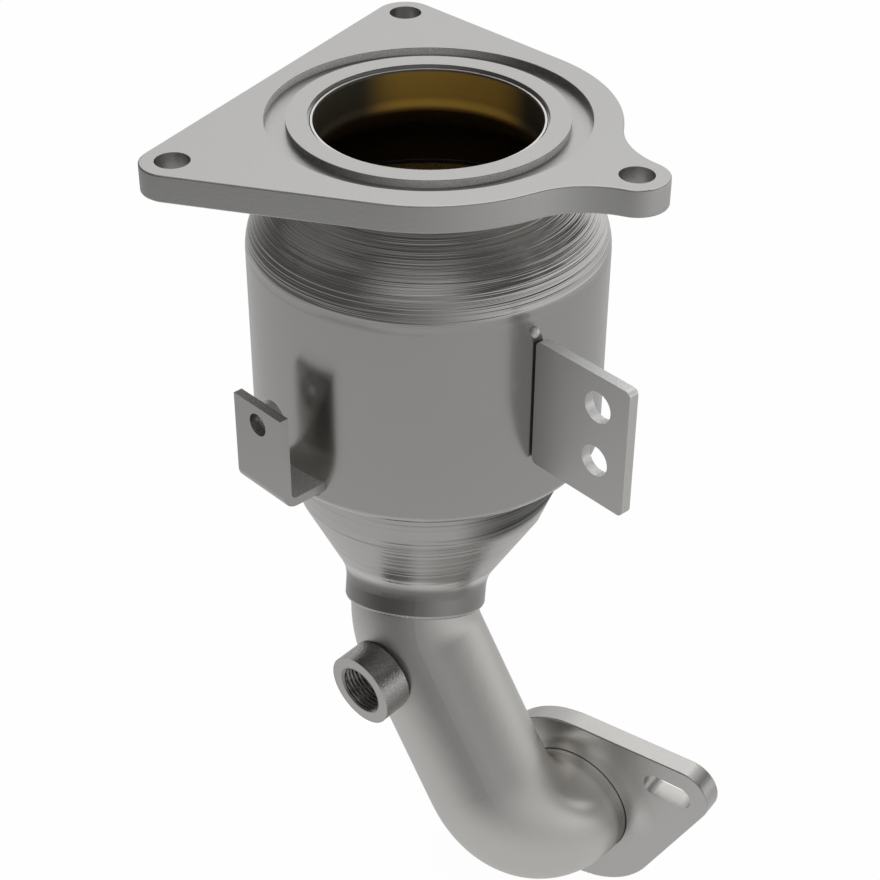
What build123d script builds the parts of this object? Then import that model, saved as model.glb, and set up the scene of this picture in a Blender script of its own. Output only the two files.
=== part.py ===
from build123d import *
import math
import os

# Catalytic converter for the outlet of an exhaust manifold. Millimetres and degrees.
# The origin is the centre of the inlet bore, on the mating face of the inlet flange.
# +Z points out of the inlet along the can, +X to the right and +Y away from the front.

# Inlet flange
flange_thickness = 9.0
flange_disc_radius = 60.6
flange_lip = 0.9
gasket_ring_width = 6.7
gasket_groove_width = 6.8
gasket_groove_depth = 2.8
ear_radius = 10.2
stud_hole_radius = 5.5
left_stud = (-76.1, -32.0)
back_stud = (-8.1, 81.1)
right_stud = (61.1, -40.7)
right_ear_blend_radius = 28.6
plate_edge_round = 0.5

# Catalyst brick, with its mat and the two wire mesh seals
brick_radius = 52.85
brick_length = 69.8
brick_rise = 1.2
brick_end_gap = 1.2
mat_thickness = 4.85
mesh_seal_height = 4.0

# Body shell, one tube spun down at both ends
can_wall = 1.5
can_bottom_round = 3.0
inlet_neck_radius = 38.7
inlet_neck_recess = 1.0
inlet_neck_straight = 3.3
shoulder_turn = 50.0
shoulder_foot_radius = 10.0
shoulder_radius = 22.0
cone_ledge = 5.9
cone_knee_distance = 29.3
cone_knee_radius = 41.3
cone_knee_tilt = 18.3
cone_knee_round = 12.0
outlet_neck_tilt = 22.4
outlet_neck_azimuth = -100.5
outlet_neck_distance = 52.9
outlet_neck_length = 9.6
outlet_neck_wall = 2.0
outlet_neck_blend = 3.0

# Inlet liner
liner_gap = 0.3
liner_wall = 0.7
liner_mouth_clearance = 4.8
liner_mouth_bend = 12.0
liner_mouth_gap = 1.2

# Outlet pipe
pipe_radius = 22.5
pipe_wall = 1.8
pipe_slip = 0.1
first_leg = 9.0
second_leg = 95.4
second_leg_tilt = 35.4
second_leg_azimuth = -43.1
outlet_leg = 33.0
outlet_azimuth = 54.6
first_bend_radius = 34.5
second_bend_radius = 29.5

# Outlet flange
outlet_flange_thickness = 8.0
outlet_disc_radius = 36.0
outlet_ear_radius = 10.6
outlet_ear_side = 43.0
outlet_ear_rise = 26.9
slot_side = 37.6
slot_rise = 25.6
slot_length = 18.8
slot_width = 9.2
flange_slip = 0.3
pipe_end_recess = 2.0

# Sensor bung
bung_radius = 13.2
bung_height = 9.5
bung_sunk = 1.3
bung_azimuth = -133.7
bung_elevation = -4.1
bung_along_leg = 9.0
bung_thread_radius = 8.2
bung_mouth_chamfer = 1.0
bung_pipe_hole_radius = 9.2

# Left bracket, a folded angle, and its weld nut
angle_azimuth = -137.1
angle_offset = 2.0
angle_width = 23.0
angle_height = 34.3
angle_stock = 3.2
angle_stand_off = 15.3
angle_above_cone = 6.8
angle_bend_radius = 2.2
angle_hole_radius = 3.9
angle_hole_drop = 6.7
nut_radius = 6.2
nut_height = 3.0
nut_thread_radius = 3.4

# Right bracket, a flat plate
plate_can_angle = -56.8
plate_azimuth = -48.3
plate_reach = 40.0
plate_stock = 3.6
plate_height = 45.3
plate_above_cone = 19.1
plate_corner_radius = 2.0
plate_root_gap = 0.8
plate_hole_radius = 5.3
plate_hole_reach = 27.5
plate_hole_drop = 11.1
plate_hole_spacing = 19.5

# Weld beads
inlet_weld_leg = 4.0
neck_weld_leg = 1.8
bracket_weld_leg = 3.0


# Directions, levels and radii that follow from those sizes

def heading(azimuth, elevation=0.0):
    level = math.cos(math.radians(elevation))
    return Vector(
        level * math.cos(math.radians(azimuth)),
        level * math.sin(math.radians(azimuth)),
        math.sin(math.radians(elevation)),
    )


def crossways(azimuth):
    return heading(azimuth + 90)


up = Vector(0, 0, 1)
neck_axis = heading(outlet_neck_azimuth, outlet_neck_tilt - 90)
knee_axis = heading(outlet_neck_azimuth, cone_knee_tilt - 90)
leg_axis = heading(second_leg_azimuth, second_leg_tilt - 90)
outlet_axis = heading(outlet_azimuth)

flange_bore_radius = inlet_neck_radius - flange_lip
gasket_ring_radius = flange_bore_radius + gasket_ring_width
gasket_groove_radius = gasket_ring_radius + gasket_groove_width
can_radius = brick_radius + mat_thickness + can_wall
liner_mouth_radius = can_radius - liner_mouth_clearance
shoulder_slope = math.tan(math.radians(shoulder_turn))
half_turn = math.tan(math.radians(shoulder_turn / 2))
shoulder_foot_z = -flange_thickness - inlet_neck_straight - shoulder_foot_radius * half_turn
shoulder_edge_z = shoulder_foot_z - (can_radius - inlet_neck_radius) / shoulder_slope
can_top_z = shoulder_edge_z - shoulder_radius * half_turn
brick_top_z = can_top_z + brick_rise
brick_bottom_z = brick_top_z - brick_length
can_bottom_z = brick_bottom_z - brick_end_gap - can_wall
plate_bottom_z = can_bottom_z + plate_above_cone
angle_bottom_z = can_bottom_z + angle_above_cone
angle_face_distance = can_radius + angle_stand_off
angle_hole_z = angle_bottom_z + angle_height - angle_hole_drop

outlet_neck_bore = pipe_radius + pipe_slip
outlet_neck_radius = outlet_neck_bore + outlet_neck_wall
cone_knee = Vector(0, 0, can_bottom_z) + neck_axis * cone_knee_distance
neck_top = Vector(0, 0, can_bottom_z) + neck_axis * outlet_neck_distance
neck_end = neck_top + neck_axis * outlet_neck_length
first_corner = neck_end + neck_axis * first_leg
second_corner = first_corner + leg_axis * second_leg
outlet_face = second_corner + outlet_axis * outlet_leg
pipe_end = outlet_face + outlet_axis * (outlet_flange_thickness - pipe_end_recess)


# Flat outlines made of lines and arcs

def arc(centre, start, end, counterclockwise=True):
    first = math.atan2(start[1] - centre[1], start[0] - centre[0])
    last = math.atan2(end[1] - centre[1], end[0] - centre[0])
    swing = (last - first) % (2 * math.pi)
    if not counterclockwise:
        swing -= 2 * math.pi
    radius = math.dist(centre, start)
    middle = first + swing / 2
    through = (centre[0] + radius * math.cos(middle), centre[1] + radius * math.sin(middle))
    return ThreePointArc(start, through, end)


def outer_tangent(circle_a, circle_b):
    """Ends of the line that touches both circles on the right of the way from a to b."""
    (centre_a, radius_a), (centre_b, radius_b) = circle_a, circle_b
    along = math.atan2(centre_b[1] - centre_a[1], centre_b[0] - centre_a[0])
    normal = along - math.acos((radius_a - radius_b) / math.dist(centre_a, centre_b))
    return [
        (centre[0] + radius * math.cos(normal), centre[1] + radius * math.sin(normal))
        for centre, radius in (circle_a, circle_b)
    ]


def hollow_blend(circle_a, circle_b, blend_radius, side):
    """Centre of a hollow arc between two circles, and where it touches each of them."""
    (centre_a, radius_a), (centre_b, radius_b) = circle_a, circle_b
    span = math.dist(centre_a, centre_b)
    reach_a = radius_a + blend_radius
    reach_b = radius_b + blend_radius
    along = math.atan2(centre_b[1] - centre_a[1], centre_b[0] - centre_a[0])
    opening = math.acos((span**2 + reach_a**2 - reach_b**2) / (2 * span * reach_a))
    angle = along + side * opening
    centre = (centre_a[0] + reach_a * math.cos(angle), centre_a[1] + reach_a * math.sin(angle))

    def touch(other, share):
        return tuple(other[i] + (centre[i] - other[i]) * share for i in (0, 1))

    return centre, touch(centre_a, radius_a / reach_a), touch(centre_b, radius_b / reach_b)


def inlet_outline():
    disc = ((0.0, 0.0), flange_disc_radius)
    left, back, right = ((stud, ear_radius) for stud in (left_stud, back_stud, right_stud))
    front_line = outer_tangent(left, disc)
    back_line = outer_tangent(disc, back)
    left_line = outer_tangent(back, left)
    low, low_disc, low_ear = hollow_blend(disc, right, right_ear_blend_radius, -1)
    high, high_disc, high_ear = hollow_blend(disc, right, right_ear_blend_radius, 1)
    edges = [
        Line(*front_line),
        arc(disc[0], front_line[1], low_disc),
        arc(low, low_disc, low_ear, counterclockwise=False),
        arc(right_stud, low_ear, high_ear),
        arc(high, high_ear, high_disc, counterclockwise=False),
        arc(disc[0], high_disc, back_line[0]),
        Line(*back_line),
        arc(back_stud, back_line[1], left_line[0]),
        Line(*left_line),
        arc(left_stud, left_line[1], front_line[0]),
    ]
    return make_face(Wire(edges))


def outlet_outline():
    disc = ((0.0, 0.0), outlet_disc_radius)
    upper_ear = ((outlet_ear_side, outlet_ear_rise), outlet_ear_radius)
    lower_ear = ((-outlet_ear_side, -outlet_ear_rise), outlet_ear_radius)
    circles = [disc, upper_ear, disc, lower_ear]
    lines = [outer_tangent(circles[i - 1], circles[i]) for i in range(len(circles))]
    edges = []
    for i, (centre, _) in enumerate(circles):
        line_in = lines[i]
        line_out = lines[(i + 1) % len(lines)]
        edges += [Line(*line_in), arc(centre, line_in[1], line_out[0])]
    return make_face(Wire(edges))


def rounded_plate(outline, thickness, edge_round):
    """Plate from z = 0 downwards, with both edges of its outline rounded."""
    plate = extrude(outline, -thickness)
    rims = plate.edges().group_by(Axis.Z)
    return fillet([*rims[0], *rims[-1]], edge_round)


# Solids of revolution, round bars and the solids that cut pieces to each other

def revolved(profile_edges):
    return revolve(Plane.XZ * make_face(Wire(profile_edges)), Axis.Z)


def rod(start, axis, length, radius):
    plane = Plane(origin=start, z_dir=axis)
    return plane * Cylinder(radius, length, align=(Align.CENTER, Align.CENTER, Align.MIN))


def ring(inner_radius, outer_radius, top_z, bottom_z):
    section = Circle(outer_radius)
    if inner_radius:
        section -= Circle(inner_radius)
    return Pos(0, 0, bottom_z) * extrude(section, top_z - bottom_z)


def spun_side(depth, wall_radius, bottom_z, wall_bend):
    """Neck, shoulder and wall in section, at a depth below the outer skin of the body."""
    neck_radius = inlet_neck_radius - depth
    foot_z = shoulder_foot_z - depth * half_turn
    edge_z = foot_z - (wall_radius - neck_radius) / shoulder_slope
    return FilletPolyline(
        (neck_radius, -inlet_neck_recess),
        (neck_radius, foot_z),
        (wall_radius, edge_z),
        (wall_radius, bottom_z),
        radius=(shoulder_foot_radius + depth, wall_bend),
    )


def body_core(depth):
    """The filled body above the cone, drawn in by a depth."""
    wall_radius = can_radius - depth
    bottom_z = can_bottom_z + depth
    side = spun_side(depth, wall_radius, bottom_z, shoulder_radius - depth)
    top = (inlet_neck_radius - depth, -inlet_neck_recess)
    closing = Polyline((wall_radius, bottom_z), (0, bottom_z), (0, -inlet_neck_recess), top)
    return revolved([*side.edges(), *closing.edges()])


def outlet_core(depth, neck_radius):
    """The filled cone, with its knee, and the outlet neck, drawn in by a depth."""
    sections = [
        Plane(origin=(0, 0, can_bottom_z + depth), z_dir=-up) * Circle(can_radius - cone_ledge - depth),
        Plane(origin=cone_knee, z_dir=knee_axis) * Circle(cone_knee_radius - depth),
        Plane(origin=neck_top, z_dir=neck_axis) * Circle(neck_radius),
    ]
    cone = loft(sections, ruled=True)
    return cone + rod(neck_top, neck_axis, outlet_neck_length, neck_radius)


def pipe_core(radius):
    """The filled outlet pipe, from the top of the neck to its end in the flange."""
    path = FilletPolyline(
        neck_top,
        first_corner,
        second_corner,
        pipe_end,
        radius=(first_bend_radius, second_bend_radius),
    )
    return sweep(Plane(origin=neck_top, z_dir=neck_axis) * Circle(radius), path=path)


def bung_rod(start, end, radius):
    """Round bar along the bung's axis, between two distances from the pipe's centre line."""
    axis = heading(bung_azimuth, bung_elevation)
    centre = first_corner + leg_axis * bung_along_leg
    return rod(centre + axis * start, axis, end - start, radius)


whole_body = body_core(0.0)
whole_can = ring(0.0, can_radius, can_top_z, can_bottom_z)
whole_pipe = pipe_core(pipe_radius)


# The pieces

def make_inlet_flange():
    plate = rounded_plate(inlet_outline(), flange_thickness, plate_edge_round)
    plate -= ring(gasket_ring_radius, gasket_groove_radius, 0.0, -gasket_groove_depth)
    plate -= ring(0.0, flange_bore_radius, 0.0, -flange_thickness)
    plate -= ring(0.0, inlet_neck_radius, -inlet_neck_recess, -flange_thickness)
    for stud in (left_stud, back_stud, right_stud):
        plate -= Pos(*stud) * ring(0.0, stud_hole_radius, 0.0, -flange_thickness)
    return plate


def make_body_shell():
    bottom_rim = whole_body.edges().filter_by(GeomType.CIRCLE).sort_by(Axis.Z)[0]
    cone = outlet_core(0.0, outlet_neck_radius)
    _, neck_rim, knee_rim = cone.edges().filter_by(GeomType.CIRCLE).sort_by(Axis.Z)[:3]
    cone = fillet(neck_rim, outlet_neck_blend)
    cone = fillet(knee_rim, cone_knee_round)
    outside = fillet(bottom_rim, can_bottom_round) + cone
    return outside - body_core(can_wall) - outlet_core(can_wall, outlet_neck_bore)


def make_inlet_liner():
    mouth_z = brick_top_z + liner_mouth_gap
    depth = can_wall + liner_gap
    outer = spun_side(depth, liner_mouth_radius, mouth_z, liner_mouth_bend)
    inner = spun_side(
        depth + liner_wall,
        liner_mouth_radius - liner_wall,
        mouth_z,
        liner_mouth_bend - liner_wall,
    )
    ends = [Line(outer @ 0, inner @ 0), Line(outer @ 1, inner @ 1)]
    return revolved([*outer.edges(), *inner.edges(), *ends])


def make_catalyst_brick():
    return ring(0.0, brick_radius, brick_top_z, brick_bottom_z)


def packed_ring(top_z, bottom_z):
    """What fills the gap between the brick and the can over one stretch."""
    return ring(brick_radius, brick_radius + mat_thickness, top_z, bottom_z)


def make_outlet_pipe():
    pipe = whole_pipe - pipe_core(pipe_radius - pipe_wall)
    return pipe - bung_rod(0, pipe_radius + bung_height, bung_pipe_hole_radius)


def make_sensor_bung():
    face = pipe_radius + bung_height
    bung = bung_rod(pipe_radius - bung_sunk, face, bung_radius)
    bung -= bung_rod(0, face, bung_thread_radius)
    bore_rims = bung.edges().filter_by(GeomType.CIRCLE).sort_by(Edge.length)[:2]
    mouth = bore_rims.sort_by_distance(first_corner)[-1]
    return chamfer(mouth, bung_mouth_chamfer) - whole_pipe


def make_outlet_flange():
    plate = rounded_plate(outlet_outline(), outlet_flange_thickness, plate_edge_round)
    plate -= ring(0.0, pipe_radius + flange_slip, 0.0, -outlet_flange_thickness)
    slot = extrude(SlotOverall(slot_length, slot_width), -outlet_flange_thickness)
    plate -= Pos(slot_side, slot_rise) * slot
    plate -= Pos(-slot_side, -slot_rise) * slot
    seat = Plane(origin=outlet_face, x_dir=-crossways(outlet_azimuth), z_dir=-outlet_axis)
    return seat * plate


def make_angle_bracket():
    middle = angle_face_distance - angle_stock / 2
    shelf_z = angle_bottom_z + angle_stock / 2
    spine = FilletPolyline(
        (middle, angle_bottom_z + angle_height),
        (middle, shelf_z),
        (0, shelf_z),
        radius=angle_bend_radius + angle_stock / 2,
    )
    section = trace(spine, line_width=angle_stock)
    along = crossways(angle_azimuth)
    start = along * (angle_offset - angle_width / 2)
    side_plane = Plane(origin=start, x_dir=heading(angle_azimuth), z_dir=-along)
    bracket = extrude(side_plane * section, angle_width, dir=along)
    bracket -= nut_rod(angle_hole_radius, angle_stand_off)
    return bracket - whole_can


def nut_rod(radius, length):
    """Round bar along the nut's axis, from the back of the nut outwards."""
    back = angle_face_distance - angle_stock - nut_height
    middle = crossways(angle_azimuth) * angle_offset + up * angle_hole_z
    outward = heading(angle_azimuth)
    return rod(middle + outward * back, outward, length, radius)


def make_weld_nut():
    return nut_rod(nut_radius, nut_height) - nut_rod(nut_thread_radius, nut_height)


def plate_seat():
    """Plane of the flat bracket's front, from its lower corner at the can."""
    origin = heading(plate_can_angle) * can_radius + up * plate_bottom_z
    return Plane(origin=origin, x_dir=heading(plate_azimuth), z_dir=-crossways(plate_azimuth))


def make_flat_bracket():
    width = plate_reach - plate_root_gap
    blank = Pos(plate_root_gap + width / 2, plate_height / 2) * Rectangle(width, plate_height)
    blank = fillet(blank.vertices(), plate_corner_radius)
    for drop in (plate_hole_drop, plate_hole_drop + plate_hole_spacing):
        blank -= Pos(plate_hole_reach, plate_height - drop) * Circle(plate_hole_radius)
    return plate_seat() * extrude(blank, -plate_stock)


# Weld beads

def bead_section(radius, z, leg_out, leg_along):
    corners = ((radius, z), (radius + leg_out, z), (radius, z + leg_along))
    return Plane.XZ * make_face(Polyline(*corners, close=True))


def make_inlet_weld():
    section = bead_section(inlet_neck_radius, -flange_thickness, inlet_weld_leg, -inlet_weld_leg)
    return revolve(section, Axis.Z) - whole_body


def make_neck_weld():
    section = bead_section(pipe_radius, 0, neck_weld_leg, neck_weld_leg)
    seat = Plane(origin=neck_end, z_dir=neck_axis)
    return seat * revolve(section, Axis.Z) - whole_pipe


def make_outlet_weld():
    section = bead_section(pipe_radius + flange_slip, 0, -flange_slip - pipe_wall, pipe_end_recess)
    seat = Plane(origin=pipe_end, z_dir=outlet_axis)
    return seat * revolve(section, Axis.Z)


def make_flat_bracket_weld():
    seat = plate_seat()
    offset = seat.origin.dot(seat.z_dir) - plate_stock
    foot = seat.z_dir * offset + seat.x_dir * math.sqrt(can_radius**2 - offset**2)
    into_can = seat.x_dir * bracket_weld_leg
    corners = (foot - into_can, foot + into_can, foot - into_can - seat.z_dir * bracket_weld_leg)
    section = Pos(0, 0, plate_bottom_z) * make_face(Polyline(*corners, close=True))
    return extrude(section, plate_height, dir=up) - whole_can


def make_angle_bracket_weld():
    section = bead_section(can_radius, angle_bottom_z, bracket_weld_leg, -bracket_weld_leg)
    middle = heading(angle_azimuth) * can_radius + crossways(angle_azimuth) * angle_offset
    seat = Plane(origin=middle + up * angle_bottom_z, x_dir=heading(angle_azimuth), z_dir=up)
    stretch = seat * Box(can_radius, angle_width, 2 * bracket_weld_leg)
    return revolve(section, Axis.Z) & stretch


pieces = {
    "inlet_flange": make_inlet_flange(),
    "body_shell": make_body_shell(),
    "inlet_liner": make_inlet_liner(),
    "catalyst_brick": make_catalyst_brick(),
    "support_mat": packed_ring(can_top_z - mesh_seal_height, brick_bottom_z + mesh_seal_height),
    "inlet_mesh_seal": packed_ring(can_top_z, can_top_z - mesh_seal_height),
    "outlet_mesh_seal": packed_ring(brick_bottom_z + mesh_seal_height, brick_bottom_z),
    "outlet_pipe": make_outlet_pipe(),
    "outlet_flange": make_outlet_flange(),
    "sensor_bung": make_sensor_bung(),
    "angle_bracket": make_angle_bracket(),
    "weld_nut": make_weld_nut(),
    "flat_bracket": make_flat_bracket(),
    "inlet_weld": make_inlet_weld(),
    "neck_weld": make_neck_weld(),
    "outlet_weld": make_outlet_weld(),
    "flat_bracket_weld": make_flat_bracket_weld(),
    "angle_bracket_weld": make_angle_bracket_weld(),
}

os.makedirs("parts", exist_ok=True)
for name, piece in pieces.items():
    export_step(piece, f"parts/{name}.step")
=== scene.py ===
import math

import bpy
import numpy as np
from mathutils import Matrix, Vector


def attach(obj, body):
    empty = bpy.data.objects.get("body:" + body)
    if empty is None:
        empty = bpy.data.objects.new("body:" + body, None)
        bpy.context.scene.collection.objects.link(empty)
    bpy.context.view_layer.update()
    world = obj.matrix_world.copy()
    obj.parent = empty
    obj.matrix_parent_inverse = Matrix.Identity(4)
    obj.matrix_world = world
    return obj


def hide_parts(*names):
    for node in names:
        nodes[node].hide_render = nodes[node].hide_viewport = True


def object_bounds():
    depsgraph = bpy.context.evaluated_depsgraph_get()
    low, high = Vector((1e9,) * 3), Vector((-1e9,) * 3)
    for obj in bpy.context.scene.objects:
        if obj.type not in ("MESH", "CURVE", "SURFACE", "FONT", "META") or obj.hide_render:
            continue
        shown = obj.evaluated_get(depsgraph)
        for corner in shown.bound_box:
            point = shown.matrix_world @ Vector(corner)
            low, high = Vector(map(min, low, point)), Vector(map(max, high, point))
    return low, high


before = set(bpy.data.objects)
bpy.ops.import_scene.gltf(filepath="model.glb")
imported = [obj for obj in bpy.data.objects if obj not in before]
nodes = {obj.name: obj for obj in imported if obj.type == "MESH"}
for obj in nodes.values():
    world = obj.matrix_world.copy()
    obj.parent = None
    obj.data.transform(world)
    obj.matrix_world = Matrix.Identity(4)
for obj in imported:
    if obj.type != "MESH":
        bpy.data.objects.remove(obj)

cad_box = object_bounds()
scene = bpy.context.scene


def heading(azimuth, elevation=0.0):
    """Unit vector at an azimuth round +Z from +X and an elevation above the level plane."""
    a, e = math.radians(azimuth), math.radians(elevation)
    return np.array([math.cos(e) * math.cos(a), math.cos(e) * math.sin(a), math.sin(e)])


# Sizes in metres, in the frame of the part

up = np.array([0.0, 0.0, 1.0])
can_radius = 0.0592
can_bottom = -0.115723
shoulder_line = -0.0424

brick_radius = 0.05285
brick_top = -0.043223
brick_bottom = -0.113023
brick_skin = 0.0012
cell_pitch = 0.00127
cell_wall = 0.00019
cell_depth = 0.003
cell_reach = 0.0008
cell_sink = 0.0001

bung_middle = np.array([-0.001159, -0.030353, -0.189165])
bung_axis = heading(-133.7, -4.1)
bung_foot, bung_face = 0.0212, 0.0320
bung_radius = 0.0132
bung_chamfer = 0.0006
bung_lead = (0.0005, 0.0003)
bung_thread = dict(minor=0.0082, major=0.0091, pitch=0.0015)

nut_back = np.array([-0.048671, -0.047958, -0.081323])
nut_axis = heading(-137.1)
nut_height = 0.003
nut_radius = 0.0062
nut_lead = (0.0003, 0.0002)
nut_thread = dict(minor=0.0034, major=0.0040, pitch=0.00125)

inlet_neck_radius = 0.0387
flange_underside = -0.009
neck_end = np.array([-0.00434, -0.023418, -0.173508])
neck_axis = np.array([-0.06944, -0.37469, -0.92455])
neck_length = 0.0096
groove_radii = (0.0445, 0.0513)
groove_depth = 0.0028
pipe_radius = 0.0225
pipe_end = np.array([0.057978, -0.03276, -0.259592])
outlet_axis = heading(54.6)
plate_foot = np.array([0.035387, -0.04746, 0.0])
plate_out = heading(-48.3)
plate_back = heading(41.7)
plate_levels = (-0.0955, -0.0550)
bead_end_level = -0.0484
bead_end_azimuth = -57.1
bead_end_radius = 0.0015
shelf_azimuth = -137.1
shelf_offset = 0.002
shelf_half_width = 0.0115
shelf_underside = -0.108923

bead_ripple = 0.0015
inlet_legs = (0.004, 0.004)
neck_legs = (0.0019, 0.0016)
outlet_legs = (0.0021, 0.0020)
plate_legs = (0.0036, 0.0030)
shelf_legs = (0.0030, 0.0030)


# Surfaces

def flat_mesh(name, points, faces, lids=()):
    """Mesh object of a list of points and of four-sided faces, with lids of any number of sides."""
    mesh = bpy.data.meshes.new(name)
    mesh.from_pydata(points.tolist(), [], [*faces.tolist(), *lids])
    mesh.update()
    piece = bpy.data.objects.new(name, mesh)
    scene.collection.objects.link(piece)
    return piece


def closed_mesh(name, points, closed_rows=True, closed_columns=True):
    """Closed mesh of a grid of points, rows by columns.

    A closed direction joins its last line to its first, and an open one gets a lid at each end. The faces
    look outward: they are turned over where the volume that they hold comes out negative.
    """
    rows, columns = points.shape[:2]
    number = np.arange(rows * columns).reshape(rows, columns)
    next_row = np.roll(number, -1, axis=0)
    corners = (number, next_row, np.roll(next_row, -1, axis=1), np.roll(number, -1, axis=1))
    faces = np.stack(corners, axis=-1)
    lids = []
    if not closed_rows:
        faces = faces[:-1]
        lids = [number[0].tolist(), number[-1, ::-1].tolist()]
    if not closed_columns:
        faces = faces[:, :-1]
        lids = [number[::-1, 0].tolist(), number[:, -1].tolist()]
    flat = points.reshape(-1, 3)
    piece = flat_mesh(name, flat, faces.reshape(-1, 4), lids)
    mesh = piece.data
    mesh.calc_loop_triangles()
    triangles = np.empty(3 * len(mesh.loop_triangles), dtype=np.int32)
    mesh.loop_triangles.foreach_get("vertices", triangles)
    a, b, c = flat[triangles.reshape(3, -1, order="F")]
    if np.sum(np.cross(a, b) * c) < 0.0:
        mesh.flip_normals()
    return piece


def smooth(piece, angle):
    """Smooth shading, with a crease where faces meet at more than an angle in degrees."""
    piece.data.shade_smooth()
    piece.data.set_sharp_from_angle(angle=math.radians(angle))


def fit(piece, finish, slot, *node_names):
    """Puts a piece on the part: its finish and the CAD nodes that it stands for. The slot argument is not
    used.
    """
    piece.data.materials.append(finish.material)
    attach(piece, "root")
    if node_names:
        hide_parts(*node_names)


def across(axis):
    """Two unit vectors square to an axis and to each other."""
    side = np.cross(up, axis)
    if np.linalg.norm(side) < 0.001:
        side = np.array([1.0, 0.0, 0.0])
    side = side / np.linalg.norm(side)
    return side, np.cross(axis, side)


def threaded_collar(name, start, axis, outline, thread, thread_span, turns=96, steps=14):
    """Collar with a screw thread in its bore.

    The outline gives (radius, distance along the axis) pairs from the far end of the thread round the
    outside and back to its near end. In the bore the radius is the thread's minor radius plus its depth
    times a V-shaped groove, whose phase is the distance over the pitch plus the share of a turn. The
    groove fades out over 0.7 of a pitch at both ends.
    """
    low, high = thread_span
    count = int(steps * (high - low) / thread["pitch"])
    turn = np.linspace(0.0, 1.0, turns, endpoint=False)[:, None]
    along = np.linspace(low, high, count)[None, :]
    phase = along / thread["pitch"] + turn
    ridge = np.abs(2.0 * (phase % 1.0) - 1.0)
    fade = np.clip(np.minimum(along - low, high - along) / (0.7 * thread["pitch"]), 0.0, 1.0)
    depth = thread["major"] - thread["minor"]
    bore = thread["minor"] + depth * fade * (1.0 - ridge)
    outer = np.broadcast_to(np.array(outline).T[:, None, :], (2, turns, len(outline)))
    radius = np.concatenate([bore, outer[0]], axis=1)
    reach = np.concatenate([np.broadcast_to(along, bore.shape), outer[1]], axis=1)
    side, other = across(axis)
    angle = 2.0 * math.pi * turn[..., None]
    spokes = np.cos(angle) * side + np.sin(angle) * other
    points = start + reach[..., None] * axis + radius[..., None] * spokes
    piece = closed_mesh(name, points)
    smooth(piece, 40.0)
    return piece


def weld_bead(name, corner, first, second, closed, legs):
    """Bead along a path in the corner between two walls.

    Every point of the path has a unit vector along each wall. The section is a quarter of an ellipse
    between the ends of its two legs. Its size along the path is 0.97 plus 0.05 times the amount of a sine
    that has one half wave a ripple. The wave lags by 0.35 of a ripple in the middle of the section.
    """
    run = np.linalg.norm(np.diff(corner, axis=0, append=corner[:1]), axis=1)
    travel = np.concatenate([[0.0], np.cumsum(run)[:-1]])
    length = run.sum() if closed else travel[-1]
    ripples = round(length / bead_ripple)
    turn = np.linspace(0.0, 0.5 * math.pi, 9)
    lag = 0.35 * np.sin(2.0 * turn)
    phase = ripples * travel[:, None] / length - lag[None, :]
    size = 0.97 + 0.05 * np.abs(np.sin(math.pi * phase))
    swell = legs[0] * np.cos(turn)[None, :, None] * first[:, None, :]
    swell = swell + legs[1] * np.sin(turn)[None, :, None] * second[:, None, :]
    skin = corner[:, None, :] + size[..., None] * swell
    points = np.concatenate([skin, corner[:, None, :]], axis=1)
    piece = closed_mesh(name, points, closed_rows=closed)
    smooth(piece, 50.0)
    return piece


def ring_bead(name, centre, axis, radius, outward, along, legs, steps=540):
    """Weld bead round an axis, in the corner at a radius.

    Its first wall leads away from the axis where outward is 1 and to it where outward is -1. Its second
    wall leads along a direction.
    """
    side, other = across(axis)
    angle = np.linspace(0.0, 2.0 * math.pi, steps, endpoint=False)[:, None]
    spokes = np.cos(angle) * side + np.sin(angle) * other
    corner = centre + radius * spokes
    return weld_bead(name, corner, outward * spokes, np.broadcast_to(along, spokes.shape), True, legs)


def turned(name, outline, turns=128):
    """Closed solid of revolution round the z axis.

    Its outline gives (radius, height) pairs, and a level lid closes the first and the last.
    """
    radius, height = np.array(outline).T
    angle = np.linspace(0.0, 2.0 * math.pi, turns, endpoint=False)[:, None]
    level = np.broadcast_to(height, (turns, len(height)))
    points = np.stack([radius * np.cos(angle), radius * np.sin(angle), level], axis=-1)
    return closed_mesh(name, points, closed_columns=False)


def honeycomb(name, radius, level):
    """Open square cells whose rims are level.

    The cells stand on a square grid of one pitch, and those that reach past a radius are left out. Each has
    four quads of rim, half a cell wall wide, then four upright walls and a floor.
    """
    half_count = int(radius / cell_pitch) + 1
    steps = np.arange(-half_count, half_count) * cell_pitch
    x, y = (a.ravel() for a in np.meshgrid(steps, steps))
    half = cell_pitch / 2
    reach = np.hypot(np.abs(x + half) + half, np.abs(y + half) + half)
    x, y = x[reach < radius], y[reach < radius]
    low, high = cell_wall / 2, cell_pitch - cell_wall / 2
    outer = np.array([(0, 0), (1, 0), (1, 1), (0, 1)]) * cell_pitch
    inner = np.array([(low, low), (high, low), (high, high), (low, high)])
    plan = np.concatenate([outer, inner, inner])
    depth = np.array([0.0] * 8 + [cell_depth] * 4)
    points = np.empty((len(x), 12, 3))
    points[:, :, 0] = x[:, None] + plan[:, 0]
    points[:, :, 1] = y[:, None] + plan[:, 1]
    points[:, :, 2] = level - depth
    around = [(k, (k + 1) % 4) for k in range(4)]
    rim = [(a, b, b + 4, a + 4) for a, b in around]
    walls = [(a + 4, b + 4, b + 8, a + 8) for a, b in around]
    pattern = np.array([*rim, *walls, (8, 9, 10, 11)])
    faces = (pattern[None] + 12 * np.arange(len(x))[:, None, None]).reshape(-1, 4)
    return flat_mesh(name, points.reshape(-1, 3), faces)


# Shader maths

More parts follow.
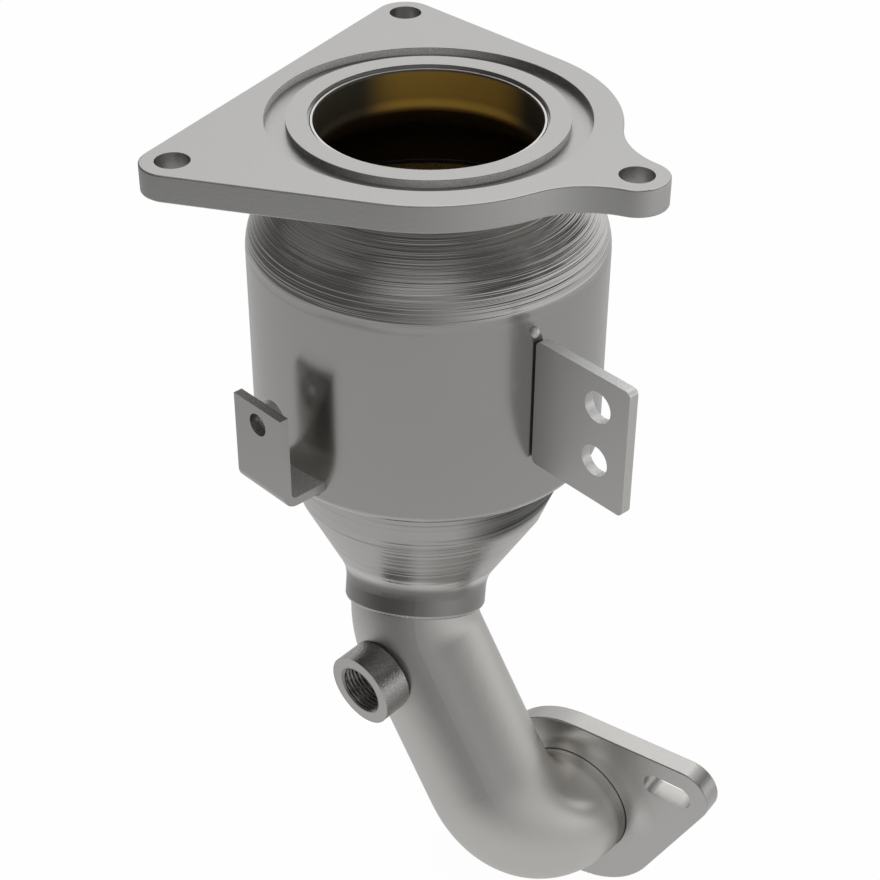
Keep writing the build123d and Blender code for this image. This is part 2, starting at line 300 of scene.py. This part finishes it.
class Value:
    """One output of a shader node. An operator on it adds a Math node."""

    def __init__(self, owner, socket):
        self.owner = owner
        self.socket = socket

    def maths(self, operation, *values):
        """A Math node of two values."""
        return self.owner.node("ShaderNodeMath", {"operation": operation}, dict(enumerate(values)))

    def __add__(self, other):
        return self.maths("ADD", self, other)

    def __radd__(self, other):
        return self.maths("ADD", other, self)

    def __sub__(self, other):
        return self.maths("SUBTRACT", self, other)

    def __rsub__(self, other):
        return self.maths("SUBTRACT", other, self)

    def __mul__(self, other):
        return self.maths("MULTIPLY", self, other)

    def __rmul__(self, other):
        return self.maths("MULTIPLY", other, self)

    def __truediv__(self, other):
        return self.maths("DIVIDE", self, other)


class Nodes:
    """The nodes of one material or of the world."""

    def __init__(self, tree):
        self.tree = tree

    def node(self, kind, settings=None, inputs=None, output=0):
        """A node of a kind. Its settings come first, then the values or links of its sockets."""
        node = self.tree.nodes.new(kind)
        for key, value in (settings or {}).items():
            setattr(node, key, value)
        for key, value in (inputs or {}).items():
            if isinstance(value, Value):
                self.tree.links.new(value.socket, node.inputs[key])
            else:
                node.inputs[key].default_value = value
        return Value(self, node.outputs[output])

    def axes(self, vector):
        """The three parts of a vector."""
        first = self.node("ShaderNodeSeparateXYZ", {}, {0: vector})
        return [Value(self, socket) for socket in first.socket.node.outputs]

    def along(self, vector, direction):
        """How far a vector reaches along a direction."""
        inputs = {0: vector, 1: tuple(direction)}
        return self.node("ShaderNodeVectorMath", {"operation": "DOT_PRODUCT"}, inputs, "Value")

    def length(self, vector):
        """Length of a vector."""
        return self.node("ShaderNodeVectorMath", {"operation": "LENGTH"}, {0: vector}, "Value")

    def unit(self, vector):
        """A vector brought to the length of 1."""
        return self.node("ShaderNodeVectorMath", {"operation": "NORMALIZE"}, {0: vector})

    def away(self, place, point):
        """Vector from a fixed point to a place."""
        inputs = {0: place, 1: tuple(point)}
        return self.node("ShaderNodeVectorMath", {"operation": "SUBTRACT"}, inputs)

    def root(self, value):
        """Square root of a value."""
        return self.node("ShaderNodeMath", {"operation": "SQRT"}, {0: value})

    def join(self, x, y, z):
        """Vector of three parts."""
        return self.node("ShaderNodeCombineXYZ", {}, {0: x, 1: y, 2: z})

    def grey(self, value):
        """Colour whose three parts are one value."""
        return self.join(value, value, value)

    def noise(self, vector, scale, detail=2.0, roughness=0.5):
        """Uneven pattern from 0 to 1, with a scale in cells a metre."""
        inputs = {"Vector": vector, "Scale": scale, "Detail": detail, "Roughness": roughness}
        return self.node("ShaderNodeTexNoise", {}, inputs)

    def rings(self, x, y, height, drift, rate, detail, roughness=0.5):
        """Noise drawn out round the z axis: drift cells a metre sideways, rate cells a metre upward."""
        return self.noise(self.join(x * drift, y * drift, height * rate), 1.0, detail, roughness)

    def step(self, value, low, high):
        """0 where a value is below low, 1 above high, with a soft step between."""
        settings = {"interpolation_type": "SMOOTHSTEP"}
        return self.node("ShaderNodeMapRange", settings, {"Value": value, 1: low, 2: high})

    def band(self, value, low, full, fade, high):
        """1 where a value is from full to fade, 0 below low and above high, with soft steps between."""
        return self.step(value, low, full) * (1.0 - self.step(value, fade, high))

    def blend(self, share, first, second):
        """Mix of two colours."""
        inputs = {0: share, 6: colour(first), 7: colour(second)}
        return self.node("ShaderNodeMix", {"data_type": "RGBA"}, inputs, 2)

    def shade(self, tone, share):
        """A colour made darker or lighter by a number."""
        settings = {"data_type": "RGBA", "blend_type": "MULTIPLY"}
        inputs = {0: 1.0, 6: colour(tone), 7: self.grey(share)}
        return self.node("ShaderNodeMix", settings, inputs, 2)

    def bump(self, height, distance):
        """Normal of a surface raised by a height times a distance."""
        return self.node("ShaderNodeBump", {}, {"Height": height, "Distance": distance})


class Finish(Nodes):
    """One material round its Principled shader, whose fixed values are given first."""

    def __init__(self, name, **fixed):
        self.material = bpy.data.materials.new(name)
        self.material.use_nodes = True
        super().__init__(self.material.node_tree)
        self.shader = self.tree.nodes["Principled BSDF"]
        for socket, value in fixed.items():
            self.shader.inputs[socket.replace("_", " ")].default_value = value
        self.place = self.node("ShaderNodeTexCoord", output="Object")

    def set(self, **sockets):
        """Links values to the sockets of the shader, whose names have _ for a space."""
        for name, value in sockets.items():
            self.tree.links.new(value.socket, self.shader.inputs[name.replace("_", " ")])
        return self


def colour(tone):
    """A link stays as it is, and three numbers get an alpha of 1."""
    return tone if isinstance(tone, Value) else (*tone, 1.0)


def wear(finish, *node_names):
    """Gives a finish to CAD nodes."""
    for name in node_names:
        for slot in nodes[name].material_slots:
            slot.material = finish.material


# Finishes

def plate_finish(name, tone):
    """Blanked plate with a fine matt grain and faint clouds, and a painted highlight on top by the joint
    with the pipe.

    The walls of its groove are rough-turned and darkened with painted shade, and paler with painted light
    on the sides that look to the front right.
    """
    finish = Finish(name, Metallic=1.0)
    grain = finish.noise(finish.place, 1100.0, 3.0, 0.6)
    cloud = finish.noise(finish.place, 45.0, 3.0, 0.55)
    coarse = finish.noise(finish.place, 1800.0, 2.0, 0.7)
    x, y, z = finish.axes(finish.place)
    radius = finish.length(finish.join(x, y, 0.0))
    inner, outer = groove_radii
    hard, soft = 0.0004, 0.0012
    near_wall = finish.band(radius, inner - soft, inner - hard, outer + hard, outer + soft)
    sunk = finish.band(z, -groove_depth + 0.0001, -groove_depth + 0.0005, -0.0004, -0.0001)
    wall = near_wall * sunk
    outer_side = finish.step(radius, inner + 0.0025, inner + 0.0035)
    rightward = finish.along(finish.place, heading(-40.0)) / radius * (1.0 - 2.0 * outer_side)
    lit_side = finish.step(rightward, -0.2, 0.7)
    # Painted highlight on top by the joint with the pipe, which is also a little less rough there.
    joint_highlight = joint_highlight_mask(finish, reach=0.036)
    # Painted light in the groove: walls darkened as painted shade, lightened on the front-right sides, over
    # a rough-turned grain.
    groove_grain_and_painted_light = wall * (coarse - 0.90 + 1.3 * lit_side)
    return finish.set(
        Base_Color=finish.shade(tone, 0.90 + 0.1 * grain + 0.06 * cloud + groove_grain_and_painted_light + 0.6 * joint_highlight),
        Roughness=0.32 + 0.1 * cloud + wall * (0.04 + 0.4 * lit_side) - 0.1 * joint_highlight,
        Normal=finish.bump(grain + 3.0 * wall * coarse, 0.00005),
    )


def can_finish():
    """Satin sheet with the lines that the spinning rollers leave on the shoulder and the cone.

    The cone has fine dark scores all round and, on its front right, a rough patch with a painted dark
    reflection. The neck is darker too, apart from its lip, which has a painted highlight.
    """
    finish = Finish("spun_can_steel")
    x, y, z = finish.axes(finish.place)
    radius = finish.length(finish.join(x, y, 0.0))
    slanting = finish.step(z, -0.090, -0.060)
    climb = z - radius * slanting
    fine = finish.rings(x, y, climb, drift=9.0, rate=1150.0, detail=1.5)
    broad = finish.rings(x, y, climb, drift=6.0, rate=480.0, detail=1.0)
    ragged_edge = finish.noise(finish.place, 30.0) * 0.006 - 0.003
    shoulder = finish.step(z + ragged_edge, shoulder_line - 0.0015, shoulder_line + 0.0025)
    before_neck = finish.along(finish.place, -neck_axis) + float(neck_axis @ neck_end) - neck_length
    neck = 1.0 - finish.step(before_neck, -0.001, 0.002)
    cone = (1.0 - finish.step(z, can_bottom - 0.003, can_bottom - 0.0015)) * (1.0 - neck)
    scored = finish.rings(x, y, z, drift=12.0, rate=650.0, detail=1.0)
    scores = cone * finish.step(scored, 0.56, 0.66)
    right_half = finish.step(x, 0.008, 0.028)
    above_end = finish.step(z, -0.136, -0.130)
    front_half = 1.0 - finish.step(y, -0.015, 0.02)
    # Painted dark reflection on the front right of the cone, where it is also rougher and less metallic.
    dark_reflection_patch = cone * right_half * above_end * front_half
    # Painted highlight in a ring on the lip where the cone meets the neck.
    lip = finish.band(before_neck, -0.0015, 0.001, 0.002, 0.0045)
    cloud = finish.noise(finish.place, 30.0, 3.0, 0.5)
    scores_and_painted_light = 0.25 * scores + dark_reflection_patch * (0.80 - 1.2 * (fine - 0.4)) - 0.35 * lip
    lines = (fine + 0.5 * broad) * (shoulder + 0.4 * cone + 0.5 * dark_reflection_patch)
    return finish.set(
        Base_Color=finish.shade((0.445, 0.435, 0.422), 0.96 + 0.06 * cloud - scores_and_painted_light - 0.36 * neck),
        Metallic=1.0 - 0.75 * dark_reflection_patch,
        Roughness=0.20 + 0.05 * cloud - 0.09 * shoulder + 0.08 * cone + 0.12 * neck + 0.25 * dark_reflection_patch,
        Normal=finish.bump(lines, 0.00040),
    )


def bracket_finish(name, front):
    """Cold-rolled plate whose front looks along a direction.

    With it come its clouds, its grain, how far a face looks up, from 0 to 1, and how far to the front.
    """
    finish = Finish(name, Metallic=1.0)
    normal = finish.node("ShaderNodeNewGeometry", output="Normal")
    cloud = finish.noise(finish.place, 40.0, 4.0, 0.55)
    grain = finish.noise(finish.place, 1500.0, 2.0, 0.7)
    upward = finish.step(finish.along(normal, up), 0.1, 0.6)
    facing = finish.along(normal, front)
    return finish, cloud, grain, upward, facing


def flat_bracket_finish():
    """Its sheared edges and hole walls are rough and paler with a painted highlight, most of all where they
    face up.
    """
    finish, cloud, grain, upward, facing = bracket_finish("bracket_steel", plate_back)
    sheared = 1.0 - finish.step(facing * facing, 0.1, 0.3)
    # Painted highlight on the sheared edges and hole walls, strongest where they face up, with some grain.
    edge_grain_and_painted_light = sheared * (0.45 + 0.75 * upward + 0.3 * (grain - 0.5))
    return finish.set(
        Base_Color=finish.shade((0.51, 0.50, 0.485), 0.93 + 0.1 * cloud + edge_grain_and_painted_light),
        Roughness=0.32 + 0.06 * cloud + 0.30 * sheared,
        Normal=finish.bump(grain * (0.05 + 0.3 * sheared), 0.00020),
    )


def folded_bracket_finish():
    """Its top edge and its shelf are rough and grainy: the edge is darker, the shelf paler with painted
    light.

    The faces that look back at the can are paler too, with painted light.
    """
    finish, cloud, grain, upward, facing = bracket_finish("folded_bracket_steel", nut_axis)
    height = finish.axes(finish.place)[2]
    shelf = 1.0 - finish.step(height, -0.102, -0.098)
    rear = 1.0 - finish.step(facing, -0.8, -0.4)
    # Painted light on the shelf and on the faces that look back at the can; the top edge is grainy and
    # darker.
    edge_grain_and_painted_light = upward * (1.2 * (grain - 0.5) - 0.15 + 1.05 * shelf) + 0.6 * rear
    return finish.set(
        Base_Color=finish.shade((0.47, 0.46, 0.445), 0.93 + 0.1 * cloud + edge_grain_and_painted_light),
        Roughness=0.32 + 0.06 * cloud + 0.25 * upward,
        Normal=finish.bump(grain * (0.05 + 1.2 * upward), 0.00020),
    )


def joint_highlight_mask(finish, reach):
    """Painted highlight mask: 1 on the upper side round the joint of pipe and lower flange, 0 further away
    than a reach.
    """
    arm = finish.away(finish.place, pipe_end)
    height = finish.axes(arm)[2]
    near = 1.0 - finish.step(finish.length(arm), 0.6 * reach, reach)
    return near * finish.step(height, -0.004, 0.012)


def pipe_finish(name, tone, roughness):
    """Satin drawn tube with soft clouds and a hint of grain.

    It has a painted highlight on top by the joint with the lower flange, and its last centimetre is darker,
    with rings and a painted dark reflection of the flange.
    """
    finish = Finish(name, Metallic=1.0)
    normal = finish.node("ShaderNodeNewGeometry", output="Normal")
    # Painted highlight on the upward faces by the joint with the lower flange.
    joint_highlight = joint_highlight_mask(finish, reach=0.050) * finish.step(finish.along(normal, up), 0.2, 0.8)
    back = float(outlet_axis @ pipe_end) - finish.along(finish.place, outlet_axis)
    collar = 1.0 - finish.step(back, 0.0095, 0.0135)
    rings = finish.noise(finish.join(back, 0.0, 0.0), 2200.0, 1.0, 0.5)
    cloud = finish.noise(finish.place, 40.0, 4.0, 0.55)
    grain = finish.noise(finish.place, 1500.0, 2.0, 0.5)
    # Painted dark reflection of the flange on the last centimetre, broken by rings.
    rings_and_painted_dark_reflection = collar * (0.5 + 0.9 * (rings - 0.5))
    return finish.set(
        Base_Color=finish.shade(tone, 0.95 + 0.1 * cloud + 0.7 * joint_highlight - rings_and_painted_dark_reflection),
        Roughness=roughness + 0.07 * cloud - 0.10 * joint_highlight,
        Normal=finish.bump(grain, 0.00002),
    )


def liner_finish():
    """Sleeve with a bright lip.

    A straw heat tint covers its rear, brightened there with painted light, down to a band of painted gold
    highlight.
    The other sides are dull, and the wall below the band is painted dark all round as shade.
    """
    finish = Finish("tinted_liner_steel")
    x, y, z = finish.axes(finish.place)
    lines = finish.rings(x, y, z, drift=12.0, rate=700.0, detail=3.0, roughness=0.6)
    rearward = finish.along(finish.place, heading(78.0)) / inlet_neck_radius
    # Painted light: the heat tint is brightest on the lit rear side.
    lit_tinted_side = finish.step(rearward, 0.60, 0.86)
    straw = finish.blend(lit_tinted_side, (0.12, 0.105, 0.08), (0.80, 0.50, 0.105))
    # Painted gold highlight in a band where the sleeve starts to flare.
    straw = finish.shade(straw, 1.0 + 0.8 * finish.band(z, -0.0150, -0.0135, -0.0130, -0.0105))
    # Painted shade: the wall below the band is dark all round.
    tint_and_painted_light = finish.blend(finish.step(z, -0.0165, -0.0140), (0.055, 0.036, 0.012), straw)
    lip = finish.step(z, -0.0022, -0.0014)
    return finish.set(
        Base_Color=finish.shade(finish.blend(lip, tint_and_painted_light, (0.72, 0.71, 0.69)), 0.95 + 0.1 * lines),
        Metallic=0.4 + 0.6 * lip,
        Roughness=0.32 + 0.06 * lines,
        Normal=finish.bump(lines, 0.00003),
    )


def bung_finish():
    """Turned bung, smooth in its bore and on its face, with a coarse sparkling grain on its side. Painted
    shade darkens its bore.
    """
    finish = Finish("bung_steel", Metallic=1.0)
    arm = finish.away(finish.place, bung_middle)
    reach = finish.along(arm, bung_axis)
    distance = finish.length(arm)
    radius = finish.root(distance * distance - reach * reach)
    side = finish.step(radius, bung_radius - 0.0006, bung_radius - 0.0002)
    bore = 1.0 - finish.step(radius, bung_thread["major"], bung_thread["major"] + 0.0003)
    grain = finish.noise(finish.place, 1300.0, 3.0, 0.7)
    sparkle = side * (0.7 * (grain - 0.5) - 0.18)
    # Painted shade darkens the bore.
    return finish.set(
        Base_Color=finish.shade((0.46, 0.45, 0.437), 0.98 - 0.4 * bore + sparkle),
        Roughness=0.34 - 0.14 * side - 0.06 * bore,
        Normal=finish.bump(grain * side, 0.00016),
    )


def rough_finish(name, tone, roughness, size, height, metallic=1.0):
    """Turned, cast or knitted surface with an uneven grain of a size and a height in metres."""
    finish = Finish(name, Metallic=metallic)
    grain = finish.noise(finish.place, 1.0 / size, 4.0, 0.65)
    return finish.set(
        Base_Color=finish.shade(tone, 0.8 + 0.4 * grain),
        Roughness=roughness + 0.15 * grain,
        Normal=finish.bump(grain, height),
    )


def fibre_finish():
    """Pressed fibre mat."""
    finish = Finish("mat_fibre", Roughness=0.95)
    fibres = finish.noise(finish.place, 700.0, 6.0, 0.7)
    tone = finish.shade((0.62, 0.57, 0.46), 0.7 + 0.6 * fibres)
    return finish.set(Base_Color=tone, Normal=finish.bump(fibres, 0.0004))


wear(plate_finish("flange_steel", (0.495, 0.49, 0.478)), "inlet_flange")
wear(plate_finish("outlet_flange_steel", (0.51, 0.50, 0.485)), "outlet_flange")
wear(can_finish(), "body_shell")
wear(liner_finish(), "inlet_liner")
wear(pipe_finish("pipe_steel", (0.57, 0.56, 0.54), roughness=0.36), "outlet_pipe")
wear(flat_bracket_finish(), "flat_bracket")
wear(folded_bracket_finish(), "angle_bracket")
wear(fibre_finish(), "support_mat")
seal_mesh = rough_finish("seal_mesh", (0.45, 0.45, 0.45), roughness=0.4, size=0.0006, height=0.0003)
wear(seal_mesh, "inlet_mesh_seal", "outlet_mesh_seal")


# Brick

brown = (0.42, 0.27, 0.09)
coated_brick = rough_finish("coated_brick", brown, roughness=0.55, size=0.0006, height=0.0001, metallic=0.2)
rim = brick_radius - brick_skin
brick_outline = [
    (rim, brick_top - cell_depth),
    (rim, brick_top),
    (brick_radius, brick_top),
    (brick_radius, brick_bottom),
]
brick = turned("brick_skin", brick_outline)
fit(brick, coated_brick, "coated_brick", "catalyst_brick")
cells = honeycomb("brick_cells", rim + cell_reach, brick_top - cell_sink)
fit(cells, coated_brick, "coated_brick")


# Bung and nut

bung_steel = bung_finish()
bung_outline = [
    (bung_thread["minor"] + bung_chamfer, bung_face),
    (bung_radius, bung_face),
    (bung_radius, bung_foot),
    (bung_thread["minor"] + bung_lead[0], bung_foot),
]
bung_span = (bung_foot + bung_lead[1], bung_face - bung_chamfer)
bung = threaded_collar("threaded_bung", bung_middle, bung_axis, bung_outline, bung_thread, bung_span)
fit(bung, bung_steel, "bung_steel", "sensor_bung")

nut_steel = rough_finish("nut_steel", (0.62, 0.61, 0.59), roughness=0.26, size=0.0007, height=0.00025)
nut_outline = [
    (nut_thread["minor"] + nut_lead[0], nut_height),
    (nut_radius, nut_height),
    (nut_radius, 0.0),
    (nut_thread["minor"] + nut_lead[0], 0.0),
]
nut_span = (nut_lead[1], nut_height - nut_lead[1])
nut = threaded_collar("threaded_nut", nut_back, nut_axis, nut_outline, nut_thread, nut_span)
fit(nut, nut_steel, "nut_steel", "weld_nut")


# Weld beads

weld_metal = rough_finish("weld_metal", (0.58, 0.57, 0.55), roughness=0.42, size=0.002, height=0.00006)


def straight_bead(name):
    """Bead down the hidden side of the flat bracket, between its back and the can."""
    level = np.linspace(*plate_levels, 180)[:, None]
    into_can = 0.0006 * plate_out
    corner = plate_foot + level * up - into_can
    first = np.broadcast_to(plate_out, corner.shape)
    second = np.broadcast_to(plate_back, corner.shape)
    return weld_bead(name, corner, first, second, False, plate_legs)


def shelf_bead(name):
    """Bead under the shelf of the folded bracket, along the can. It stops short of both sides."""
    short, into_can = 0.0025, 0.0002
    half = math.degrees(math.asin((shelf_half_width - short) / can_radius))
    middle = shelf_azimuth + math.degrees(math.asin(shelf_offset / can_radius))
    azimuth = np.radians(np.linspace(middle - half, middle + half, 120))
    first = np.stack([np.cos(azimuth), np.sin(azimuth), np.zeros_like(azimuth)], axis=1)
    corner = (can_radius - into_can) * first + shelf_underside * up
    return weld_bead(name, corner, first, np.broadcast_to(-up, first.shape), False, shelf_legs)


def bead_end():
    """Ball that the torch leaves on the can where the gap beside the flat bracket ends.

    An ellipsoid that is 1.25 times as high as it is wide, with a small flat at each pole.
    """
    pole_angle = 0.15
    turn = np.linspace(0.0, 2.0 * math.pi, 32, endpoint=False)[:, None]
    tilt = np.linspace(pole_angle, math.pi - pole_angle, 15)[None, :]
    level = np.broadcast_to(1.25 * np.cos(tilt), (turn.size, tilt.size))
    ball = np.stack([np.cos(turn) * np.sin(tilt), np.sin(turn) * np.sin(tilt), level], axis=-1)
    out_of_can = 0.0004
    centre = (can_radius + out_of_can) * heading(bead_end_azimuth) + bead_end_level * up
    piece = closed_mesh("bead_end", centre + bead_end_radius * ball, closed_columns=False)
    smooth(piece, 80.0)
    return piece


# A paler copy of the weld metal: painted light on the ball at the end of the bead.
weld_metal_painted_light = rough_finish("weld_metal_painted_light", (0.80, 0.79, 0.77), roughness=0.55, size=0.002, height=0.00003)
fit(bead_end(), weld_metal_painted_light, "weld_metal")

bore_radius = pipe_radius + 0.0003
rings = {
    "inlet_weld": ("inlet_bead", flange_underside * up, up, inlet_neck_radius, 1.0, -up, inlet_legs),
    "neck_weld": ("neck_bead", neck_end, neck_axis, pipe_radius, 1.0, neck_axis, neck_legs),
    "outlet_weld": ("outlet_bead", pipe_end, outlet_axis, bore_radius, -1.0, outlet_axis, outlet_legs),
}
beads = {node_name: ring_bead(*ring) for node_name, ring in rings.items()}
beads["flat_bracket_weld"] = straight_bead("flat_bracket_bead")
beads["angle_bracket_weld"] = shelf_bead("angle_bracket_bead")
for node_name, bead in beads.items():
    fit(bead, weld_metal, "weld_metal", node_name)


# Camera, where the photograph was taken from

camera_spot = (0.0, -0.54329, 0.25637)
camera_pitch = 0.6100
camera_yaw = -0.0042
lens = 78.05
film_width = 36.0
sideways_shift = 0.02125

lens_data = bpy.data.cameras.new("camera")
lens_data.lens = lens
lens_data.sensor_width = film_width
lens_data.shift_x = sideways_shift
camera = bpy.data.objects.new("camera", lens_data)
camera.location = camera_spot
camera.rotation_euler = (math.pi / 2 - camera_pitch, 0.0, -camera_yaw)
scene.collection.objects.link(camera)
scene.camera = camera


# Floor and world

def warm_side(tools, toward):
    """0 in the dark left of the studio, up to 1 in its bright right side, for a level direction."""
    return tools.step(tools.along(toward, heading(20.0)), -0.85, 0.9)


def make_floor():
    """Level square under the part. It shows white, and keeps a little of the part's shadow.

    The part mirrors it as dim near its foot, and as lit like the studio further away.
    """
    half = 6.0
    level = cad_box[0][2]
    plan = half * np.array([(-1.0, -1.0), (1.0, -1.0), (1.0, 1.0), (-1.0, 1.0)])
    floor = flat_mesh("floor", np.insert(plan, 2, level, axis=1), np.array([(0, 1, 2, 3)]))
    finish = Finish("pale_floor", Roughness=1.0, Specular_IOR_Level=0.0, Emission_Strength=1.0)
    seen = finish.node("ShaderNodeLightPath", output="Is Camera Ray")
    mirrored = finish.node("ShaderNodeLightPath", output="Is Glossy Ray")
    x, y, _ = finish.axes(finish.place)
    toward = finish.join(x, y, 0.0)
    distance = finish.length(toward)
    near = 0.72 - 0.20 * finish.step(distance, 0.12, 0.32) - 0.06 * finish.step(distance, 0.45, 0.6)
    far = 0.12 + 0.86 * warm_side(finish, finish.unit(toward))
    out = finish.step(distance, 0.5, 1.0)
    mirror_level = near + out * (far - near)
    glow = 0.975 * seen + mirrored * mirror_level
    plain = 0.62 - 0.59 * seen - 0.5 * mirrored
    finish.set(Base_Color=finish.grey(plain), Emission_Color=finish.grey(glow))
    floor.data.materials.append(finish.material)


def make_world():
    """Studio that is dark on the left.

    It has a low band of light that brightens to the right, a soft wall of light behind the part, a strong
    panel high at the rear right, a weak one above the camera and a soft one overhead.
    """
    world = bpy.data.worlds.new("studio")
    world.use_nodes = True
    scene.world = world
    studio = Nodes(world.node_tree)
    direction = studio.node("ShaderNodeTexCoord", output="Generated")
    x, y, height = studio.axes(direction)
    toward = studio.unit(studio.join(x, y, 0.0))
    band = (1.0 - studio.step(height, 0.24, 0.36)) * warm_side(studio, toward)
    behind = studio.step(studio.along(toward, heading(86.0)), 0.84, 0.93)
    high = studio.step(studio.along(toward, heading(58.0)), 0.60, 0.66) * studio.step(height, 0.56, 0.68)
    front = studio.step(studio.along(toward, heading(-97.0)), 0.70, 1.0) * studio.step(height, 0.2, 0.35)
    top = studio.step(height, 0.80, 0.92)
    level = 0.12 + 0.86 * band + 0.78 * behind * (1.0 - band) + 0.7 * high + 0.32 * front + 0.4 * top
    seen = studio.node("ShaderNodeLightPath", output="Is Camera Ray")
    strength = level + seen * (1.0 - level)
    light = studio.node("ShaderNodeBackground", {}, {"Color": (1.0, 1.0, 1.0, 1.0), "Strength": strength})
    ending = next(node for node in studio.tree.nodes if node.type == "OUTPUT_WORLD")
    studio.tree.links.new(light.socket, ending.inputs["Surface"])


make_floor()
make_world()

scene.view_settings.view_transform = "Standard"
